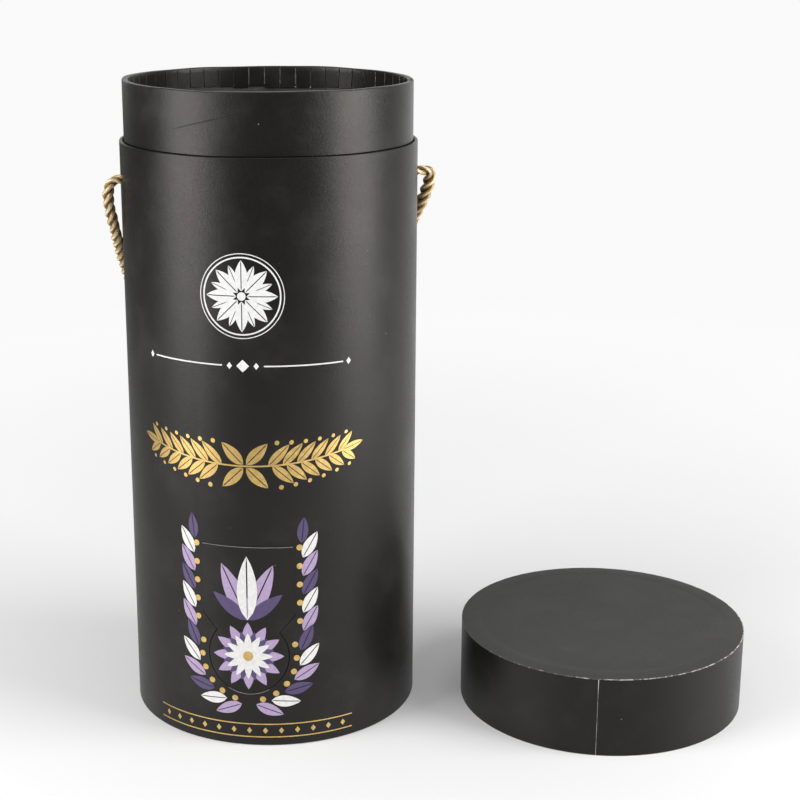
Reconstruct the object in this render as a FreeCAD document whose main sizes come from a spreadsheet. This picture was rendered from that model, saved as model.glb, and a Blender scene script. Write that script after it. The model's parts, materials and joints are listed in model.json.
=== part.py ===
# Cylindrical gift tube: paper-wrapped board tube with a neck collar, a lift-off lid,
# a rope handle through two side holes and a die-cut tap flap in the front wall.
# Millimetres, +Z up, origin on the tube's axis at the underside of its base.
# The rope's holes lie on the X axis and the rope hangs behind the tube, towards +Y.
import FreeCAD, Part
import math
import os
import Sketcher

# Driving dimensions, in millimetres, degrees and counts.
SIZES = {
    # Tube body
    "body_radius": 55,
    "body_height": 220,
    "body_board": 1.1,
    "paper": 0.2,
    "glue": 0.06,
    "rim_turn_in": 8,
    "foot_turn_under": 9,
    "back_seam_gap": 0.3,
    # Base
    "base_board": 2.2,
    "base_cover_inset": 1.2,
    "base_lining_inset": 0.4,
    # Neck collar
    "neck_board": 1.5,
    "neck_proud": 22,
    "neck_sunk": 44,
    "tab_depth": 8,
    "tab_slit": 0.5,
    "tab_count": 52,
    # Rope handle
    "rope_diameter": 3.6,
    "rope_clearance": 0.3,
    "rope_below_rim": 14,
    "knot_gap": 0.4,
    "knot_length": 8,
    "knot_radius": 4.7,
    "knot_round": 2,
    # Tap flap
    "front_turn_deg": -20,
    "flap_crease_height": 79.2,
    "flap_half_width": 17.1,
    "flap_shoulder_height": 52.3,
    "flap_neck_half_width": 11.6,
    "flap_round_height": 36.3,
    "flap_round_radius": 14.9,
    "flap_kerf": 0.3,
    # Lid
    "lid_height": 31,
    "lid_board": 1.6,
    "lid_disc_board": 1.8,
    "lid_fit": 0.4,
    "lid_wrap_trim": 0.3,
    "lid_lining_inset": 0.4,
    "lid_seam_gap": 0.3,
    "lid_seam_turn_deg": -21,
    "lid_gap": 14.42,
    "lid_shift": -36,
    # Extra length that carries every cut past the wall it cuts
    "overrun": 5,
}

doc = FreeCAD.newDocument("gift_tube")
sheet = doc.addObject("Spreadsheet::Sheet", "Sizes")
for row, (alias, number) in enumerate(SIZES.items(), start=1):
    sheet.set(f"A{row}", alias)
    sheet.set(f"B{row}", str(number))
    sheet.setAlias(f"B{row}", alias)
doc.recompute()


def size(alias):
    """The number that a cell of the sheet holds."""
    return float(sheet.get(alias))


def named(expression):
    """An expression in the sheet's aliases, with each alias given its sheet."""
    words = expression.split(" ")
    return " ".join("Sizes." + word if word in SIZES else word for word in words)


# Sizes that follow from the driving ones, as expressions.
board_foot = "( paper + paper )"
wrap_inner = "( body_radius - paper )"
body_board_radius = f"( {wrap_inner} - glue )"
body_inner = f"( {body_board_radius} - body_board )"
turn_in_radius = f"( {body_inner} - glue )"
neck_radius = f"( {turn_in_radius} - paper - glue )"
neck_board_radius = f"( {neck_radius} - paper - glue )"
neck_inner = f"( {neck_board_radius} - neck_board )"
tab_radius = f"( {neck_inner} - glue )"
neck_rim = "( body_height + neck_proud )"
neck_foot = "( body_height - neck_sunk )"
rope_height = "( body_height - rope_below_rim )"
rope_hole_radius = "( rope_diameter / 2 + rope_clearance )"
knot_seat = f"( {neck_inner} - knot_gap )"
lid_inner = f"( {neck_radius} + lid_fit )"
lid_board_radius = f"( {lid_inner} + lid_board )"
lid_radius = f"( {lid_board_radius} + glue + paper )"
lid_board_top = "( lid_height - paper )"
lid_place = f"( body_radius + lid_gap + {lid_radius} )"


def bind(thing, target, expression):
    """Bind one property of a document object to the sheet."""
    thing.setExpression(target, named(expression))


def new_body(label):
    body = doc.addObject("PartDesign::Body", label)
    body.Label = label
    return body


def origin_feature(body, role):
    """One of a body's own origin planes or axes."""
    return next(item for item in body.Origin.OriginFeatures if item.Role == role)


def new_sketch(body, name, role):
    sketch = body.newObject("Sketcher::SketchObject", name)
    sketch.AttachmentSupport = [(origin_feature(body, role), "")]
    sketch.MapMode = "FlatFace"
    return sketch


def hold(sketch, kind, curve, end, expression):
    """Hold one end of a curve across or up from the origin at an expression."""
    place = sketch.getPoint(curve, end)
    now = place.x if kind == "DistanceX" else place.y
    held = sketch.addConstraint(Sketcher.Constraint(kind, -1, 1, curve, end, now))
    sketch.renameConstraint(held, f"{kind}_{curve}_{end}")
    bind(sketch, f"Constraints.{kind}_{curve}_{end}", expression)


def fix_point(sketch, curve, end, across, up):
    hold(sketch, "DistanceX", curve, end, across)
    hold(sketch, "DistanceY", curve, end, up)


def fix_radius(sketch, curve, expression):
    now = sketch.Geometry[curve].Radius
    held = sketch.addConstraint(Sketcher.Constraint("Radius", curve, now))
    sketch.renameConstraint(held, f"Radius_{curve}")
    bind(sketch, f"Constraints.Radius_{curve}", expression)


def corners(sketch, places):
    """A closed outline of straight edges through corners given as expressions."""
    count = len(places)
    turn = 2 * math.pi / count
    start = [FreeCAD.Vector(math.cos(turn * i), math.sin(turn * i), 0) for i in range(count)]
    for i in range(count):
        sketch.addGeometry(Part.LineSegment(start[i], start[(i + 1) % count]), False)
    for i in range(count):
        sketch.addConstraint(Sketcher.Constraint("Coincident", i, 2, (i + 1) % count, 1))
    for i, (across, up) in enumerate(places):
        fix_point(sketch, i, 1, across, up)


def circle(sketch, expression):
    """A circle on the sketch's origin."""
    curve = sketch.addGeometry(Part.Circle(FreeCAD.Vector(), FreeCAD.Vector(0, 0, 1), 1.0), False)
    sketch.addConstraint(Sketcher.Constraint("Coincident", curve, 3, -1, 1))
    fix_radius(sketch, curve, expression)


def turned(label, places):
    """A body turned about the Z axis from an outline of radius and height."""
    body = new_body(label)
    sketch = new_sketch(body, label + "_section", "XZ_Plane")
    corners(sketch, places)
    feature = body.newObject("PartDesign::Revolution", label + "_turned")
    feature.Profile = sketch
    feature.ReferenceAxis = (sketch, ["V_Axis"])
    feature.Angle = 360
    return body


def sleeve(label, inner, outer, low, high):
    """A plain ring of board or paper."""
    return turned(label, [(inner, low), (outer, low), (outer, high), (inner, high)])


def disc(label, radius, low, thickness):
    """A flat round sheet of board or paper."""
    body = new_body(label)
    sketch = new_sketch(body, label + "_outline", "XY_Plane")
    circle(sketch, radius)
    bind(sketch, "AttachmentOffset.Base.z", low)
    pad = body.newObject("PartDesign::Pad", label + "_pad")
    pad.Profile = sketch
    bind(pad, "Length", thickness)
    return body


def slot_down(body, name, places, top, depth):
    """A straight cut downwards from a height, with its outline in plan."""
    sketch = new_sketch(body, name + "_plan", "XY_Plane")
    corners(sketch, places)
    bind(sketch, "AttachmentOffset.Base.z", top)
    pocket = body.newObject("PartDesign::Pocket", name)
    pocket.Profile = sketch
    bind(pocket, "Length", depth)
    return pocket


def boolean(kind, label, base, tool):
    result = doc.addObject(kind, label)
    result.Label = label
    result.Base = base
    result.Tool = tool
    return result


def stand_lid(thing):
    """Move a piece made on the tube's axis to where the lid stands."""
    bind(thing, "Placement.Base.x", lid_place)
    bind(thing, "Placement.Base.y", "lid_shift")
    return thing


# Tap flap: the outline in the front wall, a crease across the top and a round below a neck.
def flap_outline(sketch, margin):
    half = size("flap_half_width")
    neck = size("flap_neck_half_width")
    crease = size("flap_crease_height")
    shoulder = size("flap_shoulder_height")
    middle = size("flap_round_height")
    radius = size("flap_round_radius")
    rise = math.sqrt(radius ** 2 - neck ** 2)
    path = [(-neck, middle + rise), (-half, shoulder), (-half, crease),
            (half, crease), (half, shoulder), (neck, middle + rise)]
    for start, end in zip(path, path[1:]):
        sketch.addGeometry(Part.LineSegment(FreeCAD.Vector(*start, 0), FreeCAD.Vector(*end, 0)), False)
    round_edge = Part.Circle(FreeCAD.Vector(0, middle, 0), FreeCAD.Vector(0, 0, 1), radius)
    opening = math.atan2(rise, neck)
    arc = sketch.addGeometry(Part.ArcOfCircle(round_edge, math.pi - opening, 2 * math.pi + opening), False)
    for i in range(arc - 1):
        sketch.addConstraint(Sketcher.Constraint("Coincident", i, 2, i + 1, 1))
    sketch.addConstraint(Sketcher.Constraint("Coincident", arc - 1, 2, arc, 2))
    sketch.addConstraint(Sketcher.Constraint("Coincident", 0, 1, arc, 1))
    fix_point(sketch, 1, 1, f"0 - ( flap_half_width + {margin} )", "flap_shoulder_height")
    fix_point(sketch, 2, 1, f"0 - ( flap_half_width + {margin} )", f"flap_crease_height + {margin}")
    fix_point(sketch, 3, 1, f"flap_half_width + {margin}", f"flap_crease_height + {margin}")
    fix_point(sketch, 4, 1, f"flap_half_width + {margin}", "flap_shoulder_height")
    sketch.addConstraint(Sketcher.Constraint("PointOnObject", arc, 3, -2))
    hold(sketch, "DistanceY", arc, 3, "flap_round_height")
    hold(sketch, "DistanceX", 0, 1, f"0 - ( flap_neck_half_width + {margin} )")
    hold(sketch, "DistanceX", arc, 2, f"flap_neck_half_width + {margin}")
    fix_radius(sketch, arc, f"flap_round_radius + {margin}")


def flap_prism(label, margin):
    """The flap's outline carried outwards from the tube's axis through the front wall."""
    body = new_body(label)
    sketch = new_sketch(body, label + "_outline", "XZ_Plane")
    flap_outline(sketch, margin)
    pad = body.newObject("PartDesign::Pad", label + "_pad")
    pad.Profile = sketch
    bind(pad, "Length", "body_radius + overrun")
    bind(body, "Placement.Rotation.Angle", "front_turn_deg")
    return body


flap_blank = flap_prism("flap_blank", "0")
flap_window = flap_prism("flap_window", "flap_kerf")

# Rope bore: one straight hole along X through both side walls.
rope_bore = doc.addObject("Part::Cylinder", "rope_bore")
bind(rope_bore, "Radius", rope_hole_radius)
bind(rope_bore, "Height", "2 * ( body_radius + overrun )")
bind(rope_bore, "Placement.Base.x", "0 - ( body_radius + overrun )")
bind(rope_bore, "Placement.Base.z", rope_height)
rope_bore.Placement.Rotation = FreeCAD.Rotation(FreeCAD.Vector(0, 1, 0), 90)
wall_cuts = doc.addObject("Part::MultiFuse", "wall_cuts")
wall_cuts.Shapes = [flap_window, rope_bore]

# Tube body: a board tube and its paper wrap, turned in over the rim and under the foot.
board_blank = sleeve("board_blank", body_inner, body_board_radius, board_foot, "body_height - paper")
wrap_blank = turned("wrap_blank", [
    ("body_radius", "paper"),
    ("body_radius", "body_height"),
    (f"{turn_in_radius} - paper", "body_height"),
    (f"{turn_in_radius} - paper", "body_height - rim_turn_in"),
    (turn_in_radius, "body_height - rim_turn_in"),
    (turn_in_radius, "body_height - paper"),
    (wrap_inner, "body_height - paper"),
    (wrap_inner, board_foot),
    ("body_radius - foot_turn_under", board_foot),
    ("body_radius - foot_turn_under", "paper"),
])
slot_down(wrap_blank, "back_seam", [
    ("0 - back_seam_gap / 2", body_inner),
    ("back_seam_gap / 2", body_inner),
    ("back_seam_gap / 2", "body_radius + overrun"),
    ("0 - back_seam_gap / 2", "body_radius + overrun"),
], "body_height - paper", f"body_height - paper - {board_foot}")
body_tube = boolean("Part::Cut", "body_tube", board_blank, wall_cuts)
body_wrap = boolean("Part::Cut", "body_wrap", wrap_blank, wall_cuts)

# The flap is die-cut from the same wall, so board and paper take the wall's own curve.
tap_flap_board = boolean("Part::Common", "tap_flap_board", board_blank, flap_blank)
tap_flap_paper = boolean("Part::Common", "tap_flap_paper", wrap_blank, flap_blank)

# Base: a board disc pressed into the tube, lined above and covered below.
base_disc = disc("base_disc", f"{body_inner} - glue", board_foot, "base_board")
base_cover = disc("base_cover", "body_radius - base_cover_inset", "0", "paper")
base_lining = disc("base_lining", f"{body_inner} - base_lining_inset", f"{board_foot} + base_board", "paper")

# Neck collar: a board ring glued inside the rim, its paper turned in as a fringe of tabs.
collar_blank = sleeve("collar_blank", neck_inner, neck_board_radius, neck_foot, f"{neck_rim} - paper")
fringe_blank = turned("fringe_blank", [
    (neck_radius, neck_foot),
    (neck_radius, neck_rim),
    (f"{tab_radius} - paper", neck_rim),
    (f"{tab_radius} - paper", f"{neck_rim} - tab_depth"),
    (tab_radius, f"{neck_rim} - tab_depth"),
    (tab_radius, f"{neck_rim} - paper"),
    (f"{neck_radius} - paper", f"{neck_rim} - paper"),
    (f"{neck_radius} - paper", neck_foot),
])
slit = slot_down(fringe_blank, "tab_slit_cut", [
    (f"{tab_radius} - paper - overrun", "0 - tab_slit / 2"),
    (neck_inner, "0 - tab_slit / 2"),
    (neck_inner, "tab_slit / 2"),
    (f"{tab_radius} - paper - overrun", "tab_slit / 2"),
], f"{neck_rim} - paper", "tab_depth")
fringe = fringe_blank.newObject("PartDesign::PolarPattern", "fringe")
fringe.Originals = [slit]
fringe.Axis = (origin_feature(fringe_blank, "Z_Axis"), [""])
fringe.Angle = 360
bind(fringe, "Occurrences", "tab_count")
fringe_blank.Tip = fringe
neck_tube = boolean("Part::Cut", "neck_tube", collar_blank, rope_bore)
neck_wrap = boolean("Part::Cut", "neck_wrap", fringe_blank, rope_bore)


# Rope knots: a barrel with rounded ends and a flat seat towards the collar's inner wall.
def knot(label, turn):
    body = new_body(label)
    sketch = new_sketch(body, label + "_section", "XZ_Plane")
    length = size("knot_length")
    wide = size("knot_radius")
    edge = size("knot_round")
    foot, tail = FreeCAD.Vector(), FreeCAD.Vector(length, 0, 0)
    near, far = FreeCAD.Vector(edge, wide - edge, 0), FreeCAD.Vector(length - edge, wide - edge, 0)
    outwards, sideways = FreeCAD.Vector(0, edge, 0), FreeCAD.Vector(edge, 0, 0)
    upright = FreeCAD.Vector(0, 0, 1)
    sketch.addGeometry(Part.LineSegment(foot, near - sideways), False)
    near_round = Part.Circle(near, upright, edge)
    sketch.addGeometry(Part.ArcOfCircle(near_round, math.pi / 2, math.pi), False)
    sketch.addGeometry(Part.LineSegment(near + outwards, far + outwards), False)
    far_round = Part.Circle(far, upright, edge)
    sketch.addGeometry(Part.ArcOfCircle(far_round, 0, math.pi / 2), False)
    sketch.addGeometry(Part.LineSegment(far + sideways, tail), False)
    sketch.addGeometry(Part.LineSegment(tail, foot), False)
    joined = [(0, 2, 1, 2), (1, 1, 2, 1), (2, 2, 3, 2), (3, 1, 4, 1), (4, 2, 5, 1), (5, 2, 0, 1)]
    for a, a_end, b, b_end in joined:
        sketch.addConstraint(Sketcher.Constraint("Coincident", a, a_end, b, b_end))
    sketch.addConstraint(Sketcher.Constraint("Coincident", 0, 1, -1, 1))
    sketch.addConstraint(Sketcher.Constraint("Horizontal", 5))
    fix_point(sketch, 1, 3, "knot_round", "knot_radius - knot_round")
    fix_point(sketch, 3, 3, "knot_length - knot_round", "knot_radius - knot_round")
    fix_radius(sketch, 1, "knot_round")
    fix_radius(sketch, 3, "knot_round")
    hold(sketch, "DistanceY", 0, 2, "knot_radius - knot_round")
    hold(sketch, "DistanceX", 2, 1, "knot_round")
    hold(sketch, "DistanceX", 2, 2, "knot_length - knot_round")
    hold(sketch, "DistanceY", 4, 1, "knot_radius - knot_round")
    hold(sketch, "DistanceX", 4, 2, "knot_length")
    feature = body.newObject("PartDesign::Revolution", label + "_turned")
    feature.Profile = sketch
    feature.ReferenceAxis = (sketch, ["H_Axis"])
    feature.Angle = 360
    body.Placement.Rotation = FreeCAD.Rotation(FreeCAD.Vector(0, 0, 1), turn)
    side = "0 - " if turn == 0 else ""
    bind(body, "Placement.Base.x", side + knot_seat)
    bind(body, "Placement.Base.z", rope_height)
    return body


knot_left = knot("knot_left", 0)
knot_right = knot("knot_right", 180)

# Rope handle: places measured from the middle of the bore, chosen along the hanging rope
# of a tube with the route's own radius, and drawn larger or smaller with the tube.
ROUTE_RADIUS = 55
ROUTE = [
    (-57, 0, 0),
    (-60.3, 0.6, -4.8),
    (-60, 2.6, -10.6),
    (-58.5, 7.2, -20),
    (-56.7, 14, -30),
    (-54, 22.6, -40.5),
    (-48.6, 34.4, -52.5),
    (-38.2, 46.4, -67),
    (-24.6, 55.4, -80.5),
    (-8.2, 60.8, -89),
    (8.8, 60.6, -88.6),
    (25, 55.2, -79.6),
    (38.6, 46.2, -65.6),
    (49, 34.2, -51),
    (54.4, 22.4, -39),
    (57.6, 13.6, -28.6),
    (60.2, 6.6, -18.4),
    (62.4, 2, -8.8),
    (62.8, 0.4, -1.8),
    (57, 0, 0),
]
RUN_SHARE = 0.45


def rope_path(points):
    """Straight runs joined by tangent arcs, and the arcs' radii."""
    edges = []
    radii = []
    last = points[0]
    for before, corner, after in zip(points, points[1:], points[2:]):
        back = (before - corner).normalize()
        on = (after - corner).normalize()
        half_turn = (math.pi - back.getAngle(on)) / 2
        shorter = min((before - corner).Length, (after - corner).Length)
        reach = RUN_SHARE * shorter
        radius = reach / math.tan(half_turn)
        start = corner + back * reach
        end = corner + on * reach
        centre_way = (back + on).normalize()
        middle = corner + centre_way * (radius / math.cos(half_turn) - radius)
        edges.append(Part.LineSegment(last, start).toShape())
        edges.append(Part.Arc(start, middle, end).toShape())
        radii.append(radius)
        last = end
    edges.append(Part.LineSegment(last, points[-1]).toShape())
    return Part.Wire(edges), radii


def rope(label):
    """A round tube along the route, from knot to knot."""
    seat = knot_right.Placement.Base.x
    ends = FreeCAD.Vector(-seat, 0, 0), FreeCAD.Vector(seat, 0, 0)
    share = size("body_radius") / ROUTE_RADIUS
    points = [ends[0]] + [FreeCAD.Vector(*place) * share for place in ROUTE] + [ends[1]]
    path, radii = rope_path(points)
    rope_radius = size("rope_diameter") / 2
    section = Part.Wire([Part.Circle(ends[0], FreeCAD.Vector(1, 0, 0), rope_radius).toShape()])
    piece = doc.addObject("Part::Feature", label)
    piece.Label = label
    piece.Shape = path.makePipeShell([section], True, False)
    bind(piece, "Placement.Base.z", rope_height)
    expected = math.pi * rope_radius ** 2 * path.Length
    print("rope length", round(path.Length, 1), "volume share", round(piece.Shape.Volume / expected, 4))
    print("rope bend radii", [round(radius, 1) for radius in radii])
    return piece


doc.recompute()
rope_handle = rope("rope_handle")

# Lid: a board ring with a board disc set in its top, wrapped, covered and lined.
lid_ring = stand_lid(sleeve("lid_ring", lid_inner, lid_board_radius, "0", lid_board_top))
lid_disc = stand_lid(disc("lid_disc", f"{lid_inner} - glue",
                          f"{lid_board_top} - lid_disc_board", "lid_disc_board"))
lid_top_paper = stand_lid(disc("lid_top_paper", lid_radius, lid_board_top, "paper"))
lid_lining = stand_lid(disc("lid_lining", f"{lid_inner} - lid_lining_inset",
                            f"{lid_board_top} - lid_disc_board - paper", "paper"))
lid_wrap = stand_lid(sleeve("lid_wrap", f"{lid_board_radius} + glue", lid_radius,
                            "lid_wrap_trim", lid_board_top))
slot_down(lid_wrap, "lid_seam", [
    ("0 - lid_seam_gap / 2", f"0 - ( {lid_radius} + overrun )"),
    ("lid_seam_gap / 2", f"0 - ( {lid_radius} + overrun )"),
    ("lid_seam_gap / 2", f"0 - {lid_inner}"),
    ("0 - lid_seam_gap / 2", f"0 - {lid_inner}"),
], lid_board_top, "lid_height")
bind(lid_wrap, "Placement.Rotation.Angle", "lid_seam_turn_deg")

PARTS = [
    body_tube, body_wrap, tap_flap_board, tap_flap_paper,
    base_disc, base_cover, base_lining,
    neck_tube, neck_wrap,
    rope_handle, knot_left, knot_right,
    lid_ring, lid_disc, lid_top_paper, lid_lining, lid_wrap,
]

doc.recompute()
faults = [item.Label for item in doc.Objects if "Invalid" in item.State or "Error" in item.State]
faults += [item.Label for item in PARTS if item.Shape.isNull() or not item.Shape.isValid()]
if faults:
    raise RuntimeError("these did not build: " + ", ".join(faults))
os.makedirs("parts", exist_ok=True)
for item in PARTS:
    item.Shape.exportStep(os.path.join("parts", item.Label + ".step"))
    box = item.Shape.BoundBox
    print(item.Label, len(item.Shape.Solids), "solid", round(item.Shape.Volume, 1), "mm3",
          [round(v, 2) for v in (box.XMin, box.YMin, box.ZMin, box.XMax, box.YMax, box.ZMax)])
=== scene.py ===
# %% [markdown]
# # A paper-wrapped gift tube with a rope handle
# The tube is wound board with printed paper glued over it. A collar stands up inside its rim, a shallow lid
# goes over the collar, and a twisted rope runs through two holes in the sides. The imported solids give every
# size and place, so this lesson loads them first and dresses them: paper with real folds, rope with strands,
# foil and ink on the front. Everything is in metres.

# %% Load the frame
import json
import random
from math import acos, atan2, ceil, copysign, cos, degrees, exp, hypot, pi, radians, sin, sqrt

import bmesh
import bpy
from mathutils import Matrix, Vector


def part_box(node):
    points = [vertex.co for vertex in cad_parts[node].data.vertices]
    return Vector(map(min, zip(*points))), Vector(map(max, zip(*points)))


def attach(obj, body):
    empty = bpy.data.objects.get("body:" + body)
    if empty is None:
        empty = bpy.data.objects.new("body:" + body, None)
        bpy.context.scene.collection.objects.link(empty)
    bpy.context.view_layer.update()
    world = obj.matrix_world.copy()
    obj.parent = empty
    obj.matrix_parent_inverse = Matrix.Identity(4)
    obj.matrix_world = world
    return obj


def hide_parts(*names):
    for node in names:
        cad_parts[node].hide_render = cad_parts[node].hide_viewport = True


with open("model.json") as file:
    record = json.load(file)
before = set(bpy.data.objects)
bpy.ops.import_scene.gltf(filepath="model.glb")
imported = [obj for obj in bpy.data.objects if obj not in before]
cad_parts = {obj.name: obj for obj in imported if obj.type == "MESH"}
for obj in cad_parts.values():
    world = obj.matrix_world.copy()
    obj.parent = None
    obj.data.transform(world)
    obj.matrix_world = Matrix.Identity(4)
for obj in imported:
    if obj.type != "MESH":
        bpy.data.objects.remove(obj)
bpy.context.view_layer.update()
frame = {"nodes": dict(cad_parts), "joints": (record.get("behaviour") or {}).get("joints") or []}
MM = 0.001
print("nodes in the frame:", ", ".join(sorted(frame["nodes"])))

# %% [markdown]
# The camera stands a little to the left of the tube and looks down on it, as a product photographer's does.
# Its place, turn and lens were worked out from the round edges of the tube and the lid in the photograph, so
# they are numbers here rather than a constraint that looks at something.

# %% Camera
CAMERA_PLACE = Vector((-98.58, -622.38, 298.82)) * MM
CAMERA_YAW = radians(13.469)
CAMERA_PITCH = radians(15.936)
CAMERA_ROLL = radians(0.421)
CAMERA_LENS = 76.01
SENSOR_WIDTH = 36


def added(name, data):
    """A new object in the scene with this mesh, lamp or camera."""
    new_object = bpy.data.objects.new(name, data)
    bpy.context.scene.collection.objects.link(new_object)
    return new_object


camera_data = bpy.data.cameras.new("camera")
camera_data.lens = CAMERA_LENS
camera_data.sensor_width = SENSOR_WIDTH
camera = added("camera", camera_data)
turned_to_side = Matrix.Rotation(-CAMERA_YAW, 4, "Z")
tipped_down = Matrix.Rotation(pi / 2 - CAMERA_PITCH, 4, "X")
rolled = Matrix.Rotation(CAMERA_ROLL, 4, "Z")
camera.matrix_world = Matrix.Translation(CAMERA_PLACE) @ turned_to_side @ tipped_down @ rolled
bpy.context.scene.camera = camera
bpy.context.scene.view_settings.view_transform = "Standard"
print("camera looks down by", round(degrees(CAMERA_PITCH), 1), "degrees")

# %% [markdown]
# The handle is one length of rope. It comes out of a hole on each side, turns down at once and hangs in a
# slack loop behind the tube. A rope that hangs has no straight runs, so its middle line is a NURBS curve that
# is led by a list of places, and everything else on the rope follows points read from that curve.

# %% Route of the rope
HOLE_HEIGHT = next(j for j in frame["joints"] if j["name"] == "handle_swing")["pos_m"][2]
KNOT_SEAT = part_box("knot_right")[1].x / MM
ROUTE = [
    (-KNOT_SEAT, 0, 0),
    (-57, 0, 0.6),
    (-59.6, 0.4, -2.2),
    (-59.9, 2.4, -8.6),
    (-57.5, 7.6, -19),
    (-55.4, 15.6, -28.8),
    (-52.4, 24.2, -39),
    (-48.4, 34, -52),
    (-38.2, 46.2, -67),
    (-24.6, 55.4, -80.5),
    (-8.2, 60.8, -89),
    (8.8, 60.6, -88.6),
    (25, 55.2, -79.6),
    (38.6, 46.2, -65.6),
    (48.8, 34, -50.4),
    (54.2, 22.6, -37.8),
    (56.5, 14.2, -27.4),
    (58.1, 8.1, -17.4),
    (61.0, 3.2, -8.1),
    (62.4, 0.4, 0.4),
    (57, 0, 0.6),
    (KNOT_SEAT, 0, 0),
]
ROUTE_FINENESS = 40


def points_on_spline(places, steps):
    """The points of a smooth open spline that the places lead."""
    curve = bpy.data.curves.new("guide", "CURVE")
    curve.dimensions = "3D"
    spline = curve.splines.new("NURBS")
    spline.points.add(len(places) - 1)
    for point, place in zip(spline.points, places):
        point.co = (*place, 1)
    spline.order_u = 3
    spline.use_endpoint_u = True
    spline.resolution_u = steps
    guide = bpy.data.objects.new("guide", curve)
    mesh = bpy.data.meshes.new_from_object(guide)
    points = [v.co.copy() for v in mesh.vertices]
    bpy.data.objects.remove(guide)
    bpy.data.curves.remove(curve)
    bpy.data.meshes.remove(mesh)
    return points


hole_middle = Vector((0, 0, HOLE_HEIGHT))
rope_points = points_on_spline([hole_middle + Vector(place) * MM for place in ROUTE], ROUTE_FINENESS)

# %% [markdown]
# The rope has three satin strands laid to the right. Three separate tubes would hide half their faces inside
# each other, so the rope is drawn as one skin with three lobes in its section, which turns as it goes along:
# the deep grooves between the lobes are the lay of the strands. Its UV map runs along the rope and around it,
# so that the finish can follow the yarns.

# %% Rope with its strands
ROPE_DIAMETER = 3.6 * MM
ROPE_LAY = 12.4 * MM
STRAND_OFFSET = 0.87 * MM
STRAND_RADIUS = ROPE_DIAMETER / 2 - STRAND_OFFSET
STRANDS = 3
SIDES = 36
SNUG = 1.03
FULL = 1.19
IN_HOLE = 6 * MM
OUT_OF_HOLE = 12 * MM
OPEN_LAY = 0.22
OPEN_AT = 20 * MM
OPEN_OVER = 8 * MM
UNEVEN = ((0.035, 0.61, 0), (0.02, 1.73, 1))


def lobe(turn):
    """How far the rope's skin is from its middle, for a turn away from the nearest strand."""
    across = STRAND_OFFSET * sin(turn)
    return STRAND_OFFSET * cos(turn) + sqrt(STRAND_RADIUS ** 2 - across ** 2)


def rope_section():
    """Turn and reach of each corner in the rope's section."""
    share = 2 * pi / STRANDS
    section = []
    for side in range(SIDES):
        turn = 2 * pi * side / SIDES
        from_strand = (turn + share / 2) % share - share / 2
        section.append((turn, lobe(from_strand)))
    return section


def fullness(run, left):
    """Rope is never even: it is snug in the holes, full outside, and opens where it bends on the right."""
    uneven = sum(size * sin(run / MM * pace + start) for size, pace, start in UNEVEN)
    free = (min(run, left) - IN_HOLE) / (OUT_OF_HOLE - IN_HOLE)
    open_lay = OPEN_LAY * exp(-((left - OPEN_AT) / OPEN_OVER) ** 2)
    return SNUG + (FULL - SNUG) * min(1.0, max(0.0, free)) + uneven + open_lay


def laid_rope(name, points):
    """A closed skin of three laid strands along points that are close together."""
    section = rope_section()
    whole = sum((b - a).length for a, b in zip(points, points[1:]))
    first_way = (points[1] - points[0]).normalized()
    side_way = first_way.orthogonal().normalized()
    corners, run, runs = [], 0.0, []
    for i, point in enumerate(points):
        before, after = points[max(i - 1, 0)], points[min(i + 1, len(points) - 1)]
        way = (after - before).normalized()
        side_way = (side_way - way * side_way.dot(way)).normalized()
        up_way = way.cross(side_way)
        run += (point - points[i - 1]).length if i else 0
        runs.append(run)
        twist = 2 * pi * run / ROPE_LAY
        full = fullness(run, whole - run)
        for turn, reach in section:
            out = side_way * cos(turn + twist) + up_way * sin(turn + twist)
            corners.append(point + out * reach * full)
    faces, last = [], len(points) - 1
    for i in range(last):
        for side in range(SIDES):
            beside = (side + 1) % SIDES
            faces.append((i * SIDES + side, i * SIDES + beside,
                          (i + 1) * SIDES + beside, (i + 1) * SIDES + side))
    faces.append(tuple(reversed(range(SIDES))))
    faces.append(tuple(last * SIDES + side for side in range(SIDES)))
    mesh = bpy.data.meshes.new(name)
    mesh.from_pydata(corners, [], faces)
    along = mesh.uv_layers.new(name="yarn")
    for face in mesh.polygons:
        sides = [mesh.loops[k].vertex_index % SIDES for k in face.loop_indices]
        for k, side in zip(face.loop_indices, sides):
            ring = mesh.loops[k].vertex_index // SIDES
            around = SIDES if side == 0 and SIDES - 1 in sides else side
            along.data[k].uv = (runs[ring] / ROPE_LAY, around * STRANDS / SIDES)
    mesh.shade_smooth()
    print(name, len(mesh.polygons), "faces")
    return added(name, mesh)


rope = laid_rope("rope", rope_points)
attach(rope, "handle")
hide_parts("rope_handle")

# %% [markdown]
# Inside the collar each end of the rope is tied off so that it cannot slip out. The stopper is the rope
# wound twice round itself, with a short tail left over that hangs down. It is the same skin on a tighter
# spline: the places go in along the rope's own line, come back round it as a helix and end in the tail.

# %% Stopper knots
COIL_RADIUS = 3.4
COIL_FAR = 8.2
COIL_NEAR = 2.3
COIL_TURNS = 2
COIL_STEPS = 8
WAY_IN = [(0, 0, 0), (3, 0, 0), (6.5, 0, 0.2), (9.2, 0.6, 1.6)]
TAIL = [(2.5, -3.2, 2.4), (2.8, -5.2, -0.4), (3.2, -5.6, -5), (3.6, -5.2, -9.5)]
KNOT_FINENESS = 12


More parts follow.
